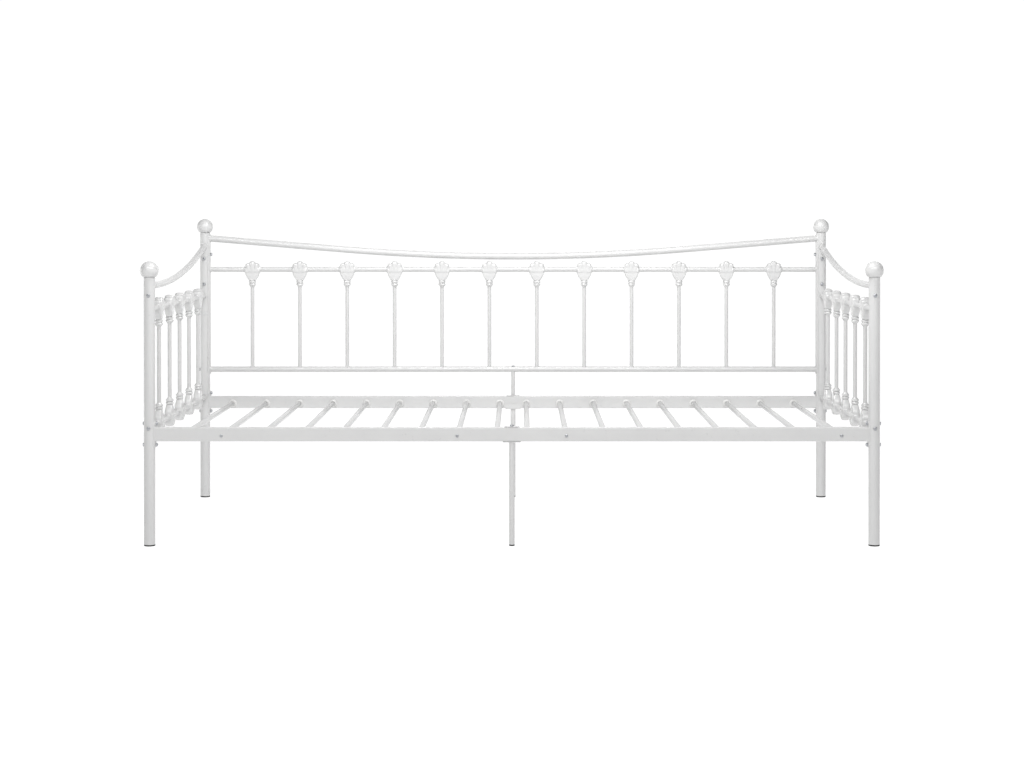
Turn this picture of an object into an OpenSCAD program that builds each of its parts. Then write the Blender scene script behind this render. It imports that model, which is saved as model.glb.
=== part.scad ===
// Metal daybed for a 900 x 2000 mm mattress: four tube posts with ball tops, two side rails
// with round slats, a spindled back panel, two spindled arms and two centre legs.
// Origin: centre of the footprint on the floor. +X to the right, +Y to the back, +Z up.

/* [Posts] */
// Distance between the left and right post centres
post_span = 2050; // [1700:10:2300]
// Distance between the front and back post centres
post_depth = 930; // [750:10:1200]
// Outer diameter of a post
post_d = 32; // [26:0.5:40]
// Wall of a post
post_wall = 1.5; // [1:0.1:2.5]
// Height of the front posts' tube ends
front_post_h = 760; // [753:1:920]
// Height of the back posts' tube ends
back_post_h = 880; // [870:1:1060]
// Diameter of the ball on a post
ball_d = 52; // [40:1:60]
// Depth of a ball's plug in its post
ball_plug = 24; // [12:1:30]

/* [Feet] */
// Thickness of the glide under each tube
glide_t = 3; // [2:0.5:6]
// Depth of a glide's plug in its tube
glide_plug = 20; // [10:1:30]

/* [Side rails] */
// Height of a side rail's section
rail_h = 40; // [34:1:50]
// Thickness of a side rail's section
rail_t = 20; // [16:1:25]
// Wall of a side rail
rail_wall = 1.5; // [1:0.1:2.5]
// Height of a side rail's middle above the floor
rail_z = 316; // [220:1:350]
// Length of a rail's saddle past the rail's top and bottom
saddle_over = 18; // [16:0.5:22]
// Distance from a rail's top and bottom to its two post bolts
rail_bolt_out = 10; // [8:0.5:12]

/* [Slats] */
// Slats in each half of the bed
slats_per_half = 9; // [5:1:10]
// Distance from the bed's middle to its first slat
slat_first = 43.5; // [40:0.5:60]
// Distance from a post's centre to the last slat
slat_margin = 93.5; // [50:0.5:160]
// Outer diameter of a slat
slat_d = 16; // [14:0.5:18]
// Wall of a slat
slat_wall = 1.2; // [0.8:0.1:2]
// Distance from a side rail's middle down to a slat's axis
slat_drop = 4; // [-2:0.5:6]
// Diameter of a slat socket's flange
socket_flange_d = 26; // [25:0.5:28]
// Thickness of a slat socket's flange
socket_flange_t = 3; // [2:0.5:5]
// Wall of a slat socket's sleeve
socket_wall = 2.5; // [1.5:0.25:3]
// Depth of a slat socket's sleeve
socket_len = 12; // [8:1:20]

/* [Centre legs] */
// Outer diameter of a centre leg
leg_d = 16; // [14:0.5:19]
// Wall of a centre leg
leg_wall = 1.2; // [0.8:0.1:2]
// Width of a leg bracket along its rail
bracket_w = 50; // [36:1:52]
// Height of a leg bracket's lip on its rail
bracket_lip = 15; // [8:1:24]
// Thickness of a leg bracket
bracket_t = 2.5; // [1.5:0.25:4]
// Width of the plates on top of the side rails
plate_w = 42; // [28:1:50]
// Thickness of the plates on top of the side rails
plate_t = 2; // [1:0.25:4]
// Outer diameter of the strut behind the bed
strut_d = 12; // [11:0.5:14]
// Wall of the strut
strut_wall = 1; // [0.8:0.1:1.2]

/* [Back panel] */
// Height of the top rail's axis at the middle
back_top_z = 800.5; // [790:0.5:810]
// Rise of the top rail's axis from its middle to a post
back_top_rise = 61.5; // [50:0.5:72]
// Outer diameter of the top rail
back_top_d = 21; // [18:0.5:24]
// Height of the upper rail's axis
back_up_z = 757; // [720:1:765]
// Outer diameter of the upper rail
back_up_d = 16; // [14:0.5:18]
// Height of the lower rail's axis
back_low_z = 425; // [405:1:460]
// Outer diameter of the lower rail
back_low_d = 18; // [14:0.5:20]
// Spindles in the back panel
back_spindles_n = 12; // [6:2:16]
// Height of the bolt at the top of each back strap
back_bolt_z = 807; // [797:1:820]

/* [Arms] */
// Lowest height of an arm's top tube
arm_top_z = 735; // [725:1:745]
// Distance from a front post to the top tube's lowest point
arm_top_low = 120; // [60:5:200]
// Rise of the top tube's axis from its lowest point to the back post
arm_top_rise = 104.2; // [80:0.1:108]
// Outer diameter of the top tube
arm_top_d = 19; // [16:0.5:21]
// Height of the upper rail's axis
arm_up_z = 670; // [600:1:680]
// Height of the lower rail's axis above a side rail's middle
arm_low_rise = 17; // [15:1:20]
// Outer diameter of the arm rails
arm_rail_d = 16; // [14:0.5:18]
// Spindles in each arm
arm_spindles_n = 5; // [3:1:7]
// Distance from a post's centre to the nearest arm spindle
arm_margin = 139.4; // [70:0.1:180]
// Height of the upper bolt in a front post
arm_front_bolt_z = 708; // [700:1:712]
// Height of the middle bolt in a back post
arm_back_bolt_z = 709; // [700:1:740]
// Height of the top bolt in a back post
arm_high_bolt_z = 793; // [770:1:795]

/* [Spindles and shells] */
// Outer diameter of a spindle
spindle_d = 12; // [10:0.5:14.5]
// Width of a shell's fan
shell_w = 50; // [42:1:60]
// Height of a shell above its rail's axis
shell_up = 27; // [24:0.5:30]
// Depth of a shell below its rail's axis
shell_down = 58; // [52:0.5:64]
// Thickness of a shell
shell_t = 28; // [24:0.5:30]
// Diameter of a shell's neck
neck_d = 19; // [17:0.5:20]
// Diameter of the beads round a shell's neck
bead_d = 23; // [20.5:0.5:24]
// Wall of the spindles, arm tubes and back tubes
tube_wall = 1.2; // [0.8:0.1:1.5]

/* [Straps and fasteners] */
// Thickness of the curved straps against the posts
strap_t = 2.5; // [1.5:0.25:3]
// Width of the straps on the rail side of a post
strap_w = 22; // [18:0.5:23]
// Width of the straps on the arm side of a post
arm_strap_w = 20; // [16:0.5:21]
// Thread diameter of the frame bolts
bolt_d = 6; // [5:0.5:6.5]
// Diameter of a frame bolt's head
head_d = 12; // [10:0.5:13]
// Height of a frame bolt's head
head_h = 3.4; // [2.5:0.1:4]
// Width of a nut across its flats
nut_af = 10; // [9:0.5:10]
// Thread diameter of the slat screws
screw_d = 5; // [4:0.5:5.5]
// Diameter of a slat screw's head
screw_head_d = 9; // [8:0.5:10]
// Length of a threaded insert
insert_len = 14; // [10:1:18]

/* [Clearances] */
// Gap between a strap or a bolt head and its tube
seat_gap = 0.1; // [0:0.05:0.2]
// Gap round a plug, a slat end or a tube in its seat
plug_gap = 0.1; // [0.05:0.05:0.2]
// Gap round a bolt or a screw in its hole
bolt_gap = 0.3; // [0.1:0.05:0.5]
// Gap round a bolt or a screw in its thread
thread_gap = 0.05; // [0:0.01:0.1]

/* [Hidden] */
$fn = 48;
arc_fn = 1440;
// Length by which a cut runs past a face
eps = 0.5;
white_coat = [0.93, 0.93, 0.92];
black_plastic = [0.05, 0.05, 0.05];
white_plastic = [0.88, 0.88, 0.86];
zinc = [0.55, 0.56, 0.58];

post_x = post_span / 2;
post_y = post_depth / 2;
post_r = post_d / 2;
strap_r = post_r + seat_gap + strap_t;
rail_low = rail_z - rail_h / 2;
rail_top = rail_z + rail_h / 2;
rail_inner = post_y - rail_t / 2;
saddle_len = rail_h + 2 * saddle_over;
saddle_bolt = rail_h / 2 + rail_bolt_out;
slat_z = rail_z - slat_drop;
slat_pitch = (post_x - slat_margin - slat_first) / (slats_per_half - 1);
slat_end = rail_inner - socket_flange_t - plug_gap;
leg_top = rail_low - bracket_t;
// The back panel's top rail: the radius and half angle of its bend, and its height at the posts
back_top_r = bend_radius(post_x, back_top_rise);
back_top_a = asin(post_x / back_top_r);
back_end_z = back_top_z + back_top_rise;
back_pitch = post_span / (back_spindles_n + 1);
// The arm's top tube: where its bend starts and ends, and its height at the back post
arm_reach = post_depth - arm_top_low;
arm_top_r = bend_radius(arm_reach, arm_top_rise);
arm_a0 = -asin(arm_top_low / arm_top_r);
arm_a1 = asin(arm_reach / arm_top_r);
arm_end_z = arm_top_z + arm_top_rise;
arm_front_z = arm_top_z + arm_top_r * (1 - cos(arm_a0));
arm_low_z = rail_z + arm_low_rise;
arm_pitch = (post_depth - 2 * arm_margin) / (arm_spindles_n - 1);
// How far past a strap a bolt goes into its nut, or into a threaded insert
nut_reach = 4.5;
insert_reach = insert_len - 3;
nut_t = 3.5;
cap_d = 9;
cap_h = 2.5;
bead_r = 3.8;
// Heights of a shell's beads above its lower end, and of the cone under them
bead_z = [8.2, 17];
neck_cone = 4;
neck_len = 21;
// Slats that are screwed through the rails: side, and place counted from the middle
tied = [[-1, 7], [-1, 1], [1, 1], [1, 8]];

// Radius of a bend that rises by that much over that run from its lowest point
function bend_radius(run, rise) = (pow(run, 2) + pow(rise, 2)) / (2 * rise);
// Directions from a bolt's head to its nut, turned about +Z
function across(side) = side < 0 ? 0 : 180;
function along(end) = end < 0 ? 90 : -90;
function slat_x(side, i) = side * (slat_first + i * slat_pitch);
function row(n, pitch) = [for (i = [0 : n - 1]) (i - (n - 1) / 2) * pitch];
// Bolts that end in a nut: side, end, height, direction
nut_bolts = [
    for (s = [-1, 1]) for (e = [-1, 1]) for (k = [-1, 1]) [s, e, rail_z + k * saddle_bolt, across(s)],
    for (s = [-1, 1]) [s, 1, back_bolt_z, across(s)],
    for (s = [-1, 1]) [s, -1, arm_front_bolt_z, along(-1)],
    for (s = [-1, 1]) for (z = [arm_back_bolt_z, arm_high_bolt_z]) [s, 1, z, along(1)]
];
// Bolts that end in a threaded insert inside a rail
arm_insert_bolts = [for (s = [-1, 1]) for (e = [-1, 1]) [s, e, arm_low_z, along(e)]];
back_insert_bolts = [for (s = [-1, 1]) [s, 1, back_low_z, across(s)]];
insert_bolts = concat(arm_insert_bolts, back_insert_bolts);

// ---- shared shapes -------------------------------------------------------------------

// Round tube that stands on the floor of its own frame
module tube(d, wall, len) {
    difference() {
        cylinder(d = d, h = len);
        translate([0, 0, -eps]) cylinder(d = d - 2 * wall, h = len + 2 * eps);
    }
}

// Ring section of a round tube
module tube_section(d, wall) {
    difference() {
        circle(d = d);
        circle(d = d - 2 * wall);
    }
}

// Bent round tube in the XZ plane, its bend centre above it, from angle a0 to a1
module bent_tube(r, d, wall, a0, a1) {
    rotate([90, 0, 0]) rotate_extrude(angle = a1 - a0, start = 270 + a0, $fn = arc_fn)
        translate([r, 0]) tube_section(d, wall, $fn = 48);
}

// Moves its children to a post's axis at height z and turns them about it
module at_post(side, end, z, turn = 0) {
    translate([side * post_x, end * post_y, z]) rotate([0, 0, turn]) children();
}

// What every tube that is welded to a strap is cut back by
module post_cope(side, end) {
    at_post(side, end, -eps) cylinder(r = strap_r, h = 2 * back_post_h);
}

// Curved strap against the +X side of a post's axis, with round ends
module strap(width, low, high, holes) {
    difference() {
        intersection() {
            translate([0, 0, low]) difference() {
                cylinder(r = strap_r, h = high - low);
                translate([0, 0, -eps]) cylinder(r = post_r + seat_gap, h = high - low + 2 * eps);
            }
            rotate([90, 0, 90]) linear_extrude(height = strap_r + eps) union() {
                translate([-width / 2, low + width / 2]) square([width, high - low - width]);
                translate([0, low + width / 2]) circle(d = width);
                translate([0, high - width / 2]) circle(d = width);
            }
        }
        for (z = holes) translate([0, 0, z]) rotate([0, 90, 0])
            cylinder(d = bolt_d + 2 * bolt_gap, h = strap_r + eps);
    }
}

// Plug with a thread right through it, along +Z from the origin
module insert(d, thread_d) {
    difference() {
        cylinder(d = d, h = insert_len);
        translate([0, 0, -eps])
            cylinder(d = thread_d + 2 * thread_gap, h = insert_len + 2 * eps);
    }
}

// Domed bolt head with a hexagon socket, its flat side at the origin, pointing up
module bolt_head(skirt = 0) {
    difference() {
        union() {
            translate([0, 0, -skirt]) cylinder(d = head_d, h = skirt + head_h * 0.4);
            translate([0, 0, head_h * 0.4])
                cylinder(d1 = head_d, d2 = head_d * 0.62, h = head_h * 0.6);
        }
        translate([0, 0, head_h * 0.45]) cylinder(d = 4.6, h = head_h, $fn = 6);
    }
}

// Frame bolt through a post at the origin, its head at -X and its thread at +X past a strap
module frame_bolt(reach) {
    difference() {
        translate([-post_r - seat_gap, 0, 0]) rotate([0, -90, 0]) bolt_head(2);
        translate([0, 0, -head_d]) cylinder(r = post_r + seat_gap, h = 2 * head_d);
    }
    translate([-post_r - seat_gap - head_h * 0.3, 0, 0]) rotate([0, 90, 0])
        cylinder(d = bolt_d, h = post_r + seat_gap + head_h * 0.3 + strap_r + reach);
}

// Capped nut against a strap at the +X side of a post's axis
module cap_nut() {
    translate([strap_r, 0, 0]) rotate([0, 90, 0]) difference() {
        union() {
            cylinder(d = nut_af / cos(30), h = nut_t, $fn = 6);
            translate([0, 0, nut_t]) cylinder(d1 = cap_d, d2 = cap_d * 0.55, h = cap_h);
        }
        translate([0, 0, -eps])
            cylinder(d = bolt_d + 2 * thread_gap, h = nut_reach + eps + seat_gap);
    }
}

// Scallop shell over a rail along X, its neck down round a spindle
module shell(rail_d) {
    lobe_r = 0.15 * shell_w;
    fan_r = shell_w / 2 - lobe_r;
    fan_z = shell_up - fan_r - lobe_r;
    neck_z = neck_len - shell_down;
    difference() {
        union() {
            intersection() {
                rotate([90, 0, 0]) linear_extrude(height = shell_t, center = true) union() {
                    for (a = [10 : 40 : 170])
                        translate([fan_r * cos(a), fan_z + fan_r * sin(a)]) circle(r = lobe_r);
                    polygon([[-neck_d / 2, neck_z], [neck_d / 2, neck_z], [0.29 * shell_w, -28],
                        [0.44 * shell_w, -11], [shell_w / 2, fan_z + 3], [0, fan_z + fan_r],
                        [-shell_w / 2, fan_z + 3], [-0.44 * shell_w, -11], [-0.29 * shell_w, -28]]);
                }
                rotate([90, 0, 90]) linear_extrude(height = shell_w + 2, center = true) union() {
                    translate([0, shell_up - shell_t / 2]) circle(d = shell_t);
                    polygon([[-neck_d / 2, neck_z], [neck_d / 2, neck_z], [shell_t / 2, -9],
                        [shell_t / 2, shell_up - shell_t / 2],
                        [-shell_t / 2, shell_up - shell_t / 2], [-shell_t / 2, -9]]);
                }
            }
            translate([0, 0, -shell_down])
                cylinder(d1 = (spindle_d + neck_d) / 2, d2 = neck_d, h = neck_cone);
            translate([0, 0, neck_cone - shell_down])
                cylinder(d = neck_d, h = neck_len - neck_cone + 1);
            for (z = bead_z) translate([0, 0, z - shell_down]) rotate_extrude()
                translate([bead_d / 2 - bead_r, 0]) circle(r = bead_r);
        }
        rotate([0, 90, 0]) cylinder(d = rail_d + 2 * plug_gap, h = shell_w + 4, center = true);
        translate([0, 0, -shell_down - eps])
            cylinder(d = spindle_d + 2 * plug_gap, h = shell_down + eps);
    }
}

// ---- posts ---------------------------------------------------------------------------

module corner_post(side, end) {
    top = end < 0 ? front_post_h : back_post_h;
    difference() {
        at_post(side, end, glide_t) tube(post_d, post_wall, top - glide_t);
        for (b = concat(nut_bolts, insert_bolts))
            if (b[0] == side && b[1] == end)
                at_post(side, end, b[2], b[3]) rotate([0, 90, 0])
                    cylinder(d = bolt_d + 2 * bolt_gap, h = post_d + 2, center = true);
    }
}

module finial(side, end) {
    top = end < 0 ? front_post_h : back_post_h;
    drop = sqrt(pow(ball_d / 2, 2) - pow(post_r + 2, 2));
    at_post(side, end, top) {
        difference() {
            translate([0, 0, drop]) sphere(d = ball_d);
            translate([0, 0, -ball_d]) cylinder(d = 2 * ball_d, h = ball_d);
        }
        translate([0, 0, -ball_plug])
            cylinder(r = post_r - post_wall - plug_gap, h = ball_plug + 1);
    }
}

module glide(d, wall) {
    cylinder(d = d, h = glide_t);
    cylinder(r = d / 2 - wall - plug_gap, h = glide_t + glide_plug);
}

module left_front_post() { color(white_coat) corner_post(-1, -1); }
module right_front_post() { color(white_coat) corner_post(1, -1); }
module left_back_post() { color(white_coat) corner_post(-1, 1); }
module right_back_post() { color(white_coat) corner_post(1, 1); }
module left_front_finial() { color(white_coat) finial(-1, -1); }
module right_front_finial() { color(white_coat) finial(1, -1); }
module left_back_finial() { color(white_coat) finial(-1, 1); }
module right_back_finial() { color(white_coat) finial(1, 1); }
module left_front_glide() { color(black_plastic) at_post(-1, -1, 0) glide(post_d, post_wall); }
module right_front_glide() { color(black_plastic) at_post(1, -1, 0) glide(post_d, post_wall); }
module left_back_glide() { color(black_plastic) at_post(-1, 1, 0) glide(post_d, post_wall); }
module right_back_glide() { color(black_plastic) at_post(1, 1, 0) glide(post_d, post_wall); }

// ---- side rails ----------------------------------------------------------------------

module side_rail(end) {
    stub_d = screw_d + 2 * bolt_gap + 4;
    difference() {
        translate([0, end * post_y, rail_z]) difference() {
            cube([post_span, rail_t, rail_h], center = true);
            cube([post_span + 2, rail_t - 2 * rail_wall, rail_h - 2 * rail_wall], center = true);
        }
        for (s = [-1, 1]) post_cope(s, end);
        // Holes for the slat sockets' stubs, in the inner wall
        for (s = [-1, 1]) for (i = [0 : slats_per_half - 1])
            translate([slat_x(s, i), end * (rail_inner - eps), slat_z]) rotate([-90 * end, 0, 0])
                cylinder(d = stub_d + 2 * plug_gap, h = rail_wall + 2 * eps);
        // Holes for the slat screws, in the outer wall
        for (t = tied) if (t[1] < slats_per_half)
            translate([slat_x(t[0], t[1]), end * post_y, slat_z]) rotate([-90 * end, 0, 0])
                cylinder(d = screw_d + 2 * bolt_gap, h = rail_t);
        // Hole for the centre bolt
        translate([0, end * post_y, rail_low - eps])
            cylinder(d = bolt_d + 2 * bolt_gap, h = rail_h + 2 * eps);
    }
}

module saddle(side, end) {
    low = rail_z - saddle_len / 2;
    at_post(side, end, 0, across(side))
        strap(strap_w, low, low + saddle_len, [rail_z - saddle_bolt, rail_z + saddle_bolt]);
}

module front_side_rail() { color(white_coat) side_rail(-1); }
module back_side_rail() { color(white_coat) side_rail(1); }
module left_front_saddle() { color(white_coat) saddle(-1, -1); }
module right_front_saddle() { color(white_coat) saddle(1, -1); }
module left_back_saddle() { color(white_coat) saddle(-1, 1); }
module right_back_saddle() { color(white_coat) saddle(1, 1); }

// ---- slats ---------------------------------------------------------------------------

module half_slats(side) {
    for (i = [0 : slats_per_half - 1])
        translate([slat_x(side, i), -slat_end, slat_z]) rotate([-90, 0, 0])
            tube(slat_d, slat_wall, 2 * slat_end);
}

// Socket along -Y from a back rail's inner face: stub in the rail, flange, sleeve
module slat_socket() {
    stub_d = screw_d + 2 * bolt_gap + 4;
    rotate([90, 0, 0]) difference() {
        union() {
            translate([0, 0, -rail_wall - 2]) cylinder(d = stub_d, h = rail_wall + 2 + eps);
            cylinder(d = socket_flange_d, h = socket_flange_t);
            cylinder(d = slat_d + 2 * (plug_gap + socket_wall), h = socket_flange_t + socket_len);
        }
        translate([0, 0, socket_flange_t])
            cylinder(d = slat_d + 2 * plug_gap, h = socket_len + eps);
        translate([0, 0, -rail_wall - 2 - eps])
            cylinder(d = screw_d + 2 * bolt_gap, h = rail_wall + 2 + socket_flange_t + 2 * eps);
    }
}

// Screw along -Y from a back rail's outer face: pan head outside, thread inwards
module slat_screw() {
    rotate([90, 0, 0]) difference() {
        union() {
            translate([0, 0, -1.6]) cylinder(d = screw_head_d, h = 1.6 - seat_gap);
            translate([0, 0, -2.6])
                cylinder(d1 = screw_head_d * 0.6, d2 = screw_head_d, h = 1.0);
            translate([0, 0, -1])
                cylinder(d = screw_d, h = 1 + rail_t + socket_flange_t + insert_len - 2);
        }
        translate([0, 0, -3]) cylinder(d = 3.4, h = 1.8, $fn = 6);
    }
}

module left_slats() { color(white_coat) half_slats(-1); }
module right_slats() { color(white_coat) half_slats(1); }
module slat_sockets() {
    color(white_plastic) for (e = [-1, 1]) for (s = [-1, 1]) for (i = [0 : slats_per_half - 1])
        translate([slat_x(s, i), e * rail_inner, slat_z]) rotate([0, 0, e < 0 ? 180 : 0])
            slat_socket();
}
module slat_screws() {
    color(zinc) for (e = [-1, 1]) for (t = tied) if (t[1] < slats_per_half)
        translate([slat_x(t[0], t[1]), e * (post_y + rail_t / 2), slat_z])
            rotate([0, 0, e < 0 ? 180 : 0]) slat_screw();
}
module slat_inserts() {
    color(zinc) for (e = [-1, 1]) for (t = tied) if (t[1] < slats_per_half)
        translate([slat_x(t[0], t[1]), e * slat_end, slat_z]) rotate([e * 90, 0, 0])
            insert(slat_d - 2 * slat_wall - 2 * plug_gap, screw_d);
}

// ---- centre legs and strut -----------------------------------------------------------

module centre_leg(end) {
    translate([0, end * post_y, glide_t]) tube(leg_d, leg_wall, leg_top - glide_t);
}

// Angle under a rail: a flat base, and a lip on the rail's inner face
module leg_bracket(end) {
    translate([0, end * post_y, 0]) rotate([0, 0, end < 0 ? 180 : 0]) difference() {
        union() {
            translate([-bracket_w / 2, -rail_t / 2 - bracket_t, leg_top])
                cube([bracket_w, rail_t + bracket_t, bracket_t]);
            translate([-bracket_w / 2, -rail_t / 2 - bracket_t, leg_top])
                cube([bracket_w, bracket_t, bracket_t + bracket_lip]);
        }
        translate([0, 0, leg_top - eps])
            cylinder(d = bolt_d + 2 * bolt_gap, h = bracket_t + 2 * eps);
    }
}

module rail_plate(end) {
    translate([0, end * post_y, rail_top]) difference() {
        translate([-plate_w / 2, -rail_t / 2, 0]) cube([plate_w, rail_t, plate_t]);
        translate([0, 0, -eps]) cylinder(d = bolt_d + 2 * bolt_gap, h = plate_t + 2 * eps);
    }
}

// Cylinder of the back panel's lower rail, for what is cut to fit it
module low_rail_cut(gap = 0) {
    translate([-head_d * 2, post_y, back_low_z]) rotate([0, 90, 0])
        cylinder(d = back_low_d + 2 * gap, h = head_d * 4);
}

module front_centre_leg() { color(white_coat) centre_leg(-1); }
module rear_centre_leg() { color(white_coat) centre_leg(1); }
module front_leg_glide() {
    color(black_plastic) translate([0, -post_y, 0]) glide(leg_d, leg_wall);
}
module rear_leg_glide() {
    color(black_plastic) translate([0, post_y, 0]) glide(leg_d, leg_wall);
}
module front_leg_bracket() { color(white_coat) leg_bracket(-1); }
module rear_leg_bracket() { color(white_coat) leg_bracket(1); }
module front_rail_plate() { color(white_coat) rail_plate(-1); }
module rear_rail_plate() { color(white_coat) rail_plate(1); }
module back_strut() {
    base = rail_top + plate_t;
    color(white_coat) difference() {
        translate([0, post_y, base]) tube(strut_d, strut_wall, back_low_z - base);
        low_rail_cut();
    }
}
module centre_bolts() {
    base = rail_top + plate_t;
    grip = base - leg_top + insert_len;
    strut_top = back_low_z - back_low_d / 2;
    color(zinc) {
        translate([0, -post_y, base + seat_gap]) bolt_head();
        translate([0, -post_y, base - grip + 2]) cylinder(d = bolt_d, h = grip - 1);
        translate([0, post_y, base - grip + 2]) cylinder(d = bolt_d, h = grip + insert_len - 4);
        difference() {
            translate([0, post_y, back_low_z + back_low_d / 2]) bolt_head(3);
            low_rail_cut(seat_gap);
        }
        translate([0, post_y, strut_top - insert_len + 2])
            cylinder(d = bolt_d, h = insert_len + back_low_d - 1);
    }
}
module centre_inserts() {
    strut_in = strut_d - 2 * strut_wall - 2 * plug_gap;
    color(zinc) {
        for (e = [-1, 1]) translate([0, e * post_y, leg_top - insert_len])
            insert(leg_d - 2 * leg_wall - 2 * plug_gap, bolt_d);
        translate([0, post_y, rail_top + plate_t]) insert(strut_in, bolt_d);
        translate([0, post_y, back_low_z - back_low_d / 2 - insert_len])
            insert(strut_in, bolt_d);
    }
}

// ---- back panel ----------------------------------------------------------------------

// Straight rail from back strap to back strap
module back_rail(z, d) {
    difference() {
        translate([-post_x, post_y, z]) rotate([0, 90, 0]) tube(d, tube_wall, post_span);
        for (s = [-1, 1]) post_cope(s, 1);
    }
}

module back_strap(side) {
    at_post(side, 1, 0, across(side))
        strap(strap_w, back_low_z - strap_w / 2 - 4, back_end_z + strap_w / 2,
            [back_low_z, back_bolt_z]);
}

module back_top_rail() {
    color(white_coat) difference() {
        translate([0, post_y, back_top_z + back_top_r])
            bent_tube(back_top_r, back_top_d, tube_wall, -back_top_a, back_top_a);
        for (s = [-1, 1]) post_cope(s, 1);
    }
}
module back_upper_rail() { color(white_coat) back_rail(back_up_z, back_up_d); }
module back_lower_rail() {
    color(white_coat) difference() {
        back_rail(back_low_z, back_low_d);
        translate([0, post_y, back_low_z])
            cylinder(d = bolt_d + 2 * bolt_gap, h = back_low_d + 2, center = true);
    }
}
module back_spindles() {
    color(white_coat) for (x = row(back_spindles_n, back_pitch)) translate([x, post_y, 0])
        difference() {
            translate([0, 0, back_low_z]) tube(spindle_d, tube_wall, back_up_z - back_low_z);
            for (r = [[back_low_z, back_low_d], [back_up_z, back_up_d]])
                translate([0, 0, r[0]]) rotate([0, 90, 0])
                    cylinder(d = r[1], h = 2 * spindle_d, center = true);
        }
}
module back_shells() {
    color(white_coat) for (x = row(back_spindles_n, back_pitch))
        translate([x, post_y, back_up_z]) shell(back_up_d);
}
module left_back_strap() { color(white_coat) back_strap(-1); }
module right_back_strap() { color(white_coat) back_strap(1); }

// ---- arms ----------------------------------------------------------------------------

module arm_top_tube(side) {
    difference() {
        translate([side * post_x, -post_y + arm_top_low, arm_top_z + arm_top_r])
            rotate([0, 0, -90]) bent_tube(arm_top_r, arm_top_d, tube_wall, -arm_a1, -arm_a0);
        for (e = [-1, 1]) post_cope(side, e);
    }
}

module arm_rail(side, z) {
    difference() {
        translate([side * post_x, -post_y, z]) rotate([-90, 0, 0])
            tube(arm_rail_d, tube_wall, post_depth);
        for (e = [-1, 1]) post_cope(side, e);
    }
}

module arm_spindles(side) {
    for (y = row(arm_spindles_n, arm_pitch)) translate([side * post_x, y, 0]) difference() {
        translate([0, 0, arm_low_z]) tube(spindle_d, tube_wall, arm_up_z - arm_low_z);
        for (z = [arm_low_z, arm_up_z]) translate([0, 0, z]) rotate([90, 0, 0])
            cylinder(d = arm_rail_d, h = 2 * spindle_d, center = true);
    }
}

// Shells along an arm rail: up = 1 for the upper row, -1 for the inverted lower row
module arm_shells(side, z, up) {
    for (y = row(arm_spindles_n, arm_pitch)) translate([side * post_x, y, z])
        rotate([0, up < 0 ? 180 : 0, 0]) rotate([0, 0, 90]) shell(arm_rail_d);
}

module arm_front_strap(side) {
    at_post(side, -1, 0, along(-1))
        strap(arm_strap_w, arm_low_z - arm_strap_w / 2 - 4, arm_front_z + arm_strap_w / 2 + 4,
            [arm_low_z, arm_front_bolt_z]);
}

module arm_back_strap(side) {
    at_post(side, 1, 0, along(1))
        strap(arm_strap_w, arm_low_z - arm_strap_w / 2 - 4, arm_end_z + arm_strap_w / 2,
            [arm_low_z, arm_back_bolt_z, arm_high_bolt_z]);
}

module left_arm_top_tube() { color(white_coat) arm_top_tube(-1); }
module left_arm_upper_rail() { color(white_coat) arm_rail(-1, arm_up_z); }
module left_arm_lower_rail() { color(white_coat) arm_rail(-1, arm_low_z); }
module left_arm_spindles() { color(white_coat) arm_spindles(-1); }
module left_arm_upper_shells() { color(white_coat) arm_shells(-1, arm_up_z, 1); }
module left_arm_lower_shells() { color(white_coat) arm_shells(-1, arm_low_z, -1); }
module left_arm_front_strap() { color(white_coat) arm_front_strap(-1); }
module left_arm_back_strap() { color(white_coat) arm_back_strap(-1); }
module right_arm_top_tube() { color(white_coat) arm_top_tube(1); }
module right_arm_upper_rail() { color(white_coat) arm_rail(1, arm_up_z); }
module right_arm_lower_rail() { color(white_coat) arm_rail(1, arm_low_z); }
module right_arm_spindles() { color(white_coat) arm_spindles(1); }
module right_arm_upper_shells() { color(white_coat) arm_shells(1, arm_up_z, 1); }
module right_arm_lower_shells() { color(white_coat) arm_shells(1, arm_low_z, -1); }
module right_arm_front_strap() { color(white_coat) arm_front_strap(1); }
module right_arm_back_strap() { color(white_coat) arm_back_strap(1); }

// ---- frame fasteners -----------------------------------------------------------------

module frame_bolts() {
    color(zinc) {
        for (b = nut_bolts) at_post(b[0], b[1], b[2], b[3]) frame_bolt(nut_reach);
        for (b = insert_bolts) at_post(b[0], b[1], b[2], b[3]) frame_bolt(insert_reach);
    }
}
module cap_nuts() {
    color(zinc) for (b = nut_bolts) at_post(b[0], b[1], b[2], b[3]) cap_nut();
}
module rail_inserts() {
    color(zinc) {
        for (b = arm_insert_bolts) at_post(b[0], b[1], b[2], b[3])
            translate([strap_r, 0, 0]) rotate([0, 90, 0])
                insert(arm_rail_d - 2 * tube_wall - 2 * plug_gap, bolt_d);
        for (b = back_insert_bolts) at_post(b[0], b[1], b[2], b[3])
            translate([strap_r, 0, 0]) rotate([0, 90, 0])
                insert(back_low_d - 2 * tube_wall - 2 * plug_gap, bolt_d);
    }
}

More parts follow.
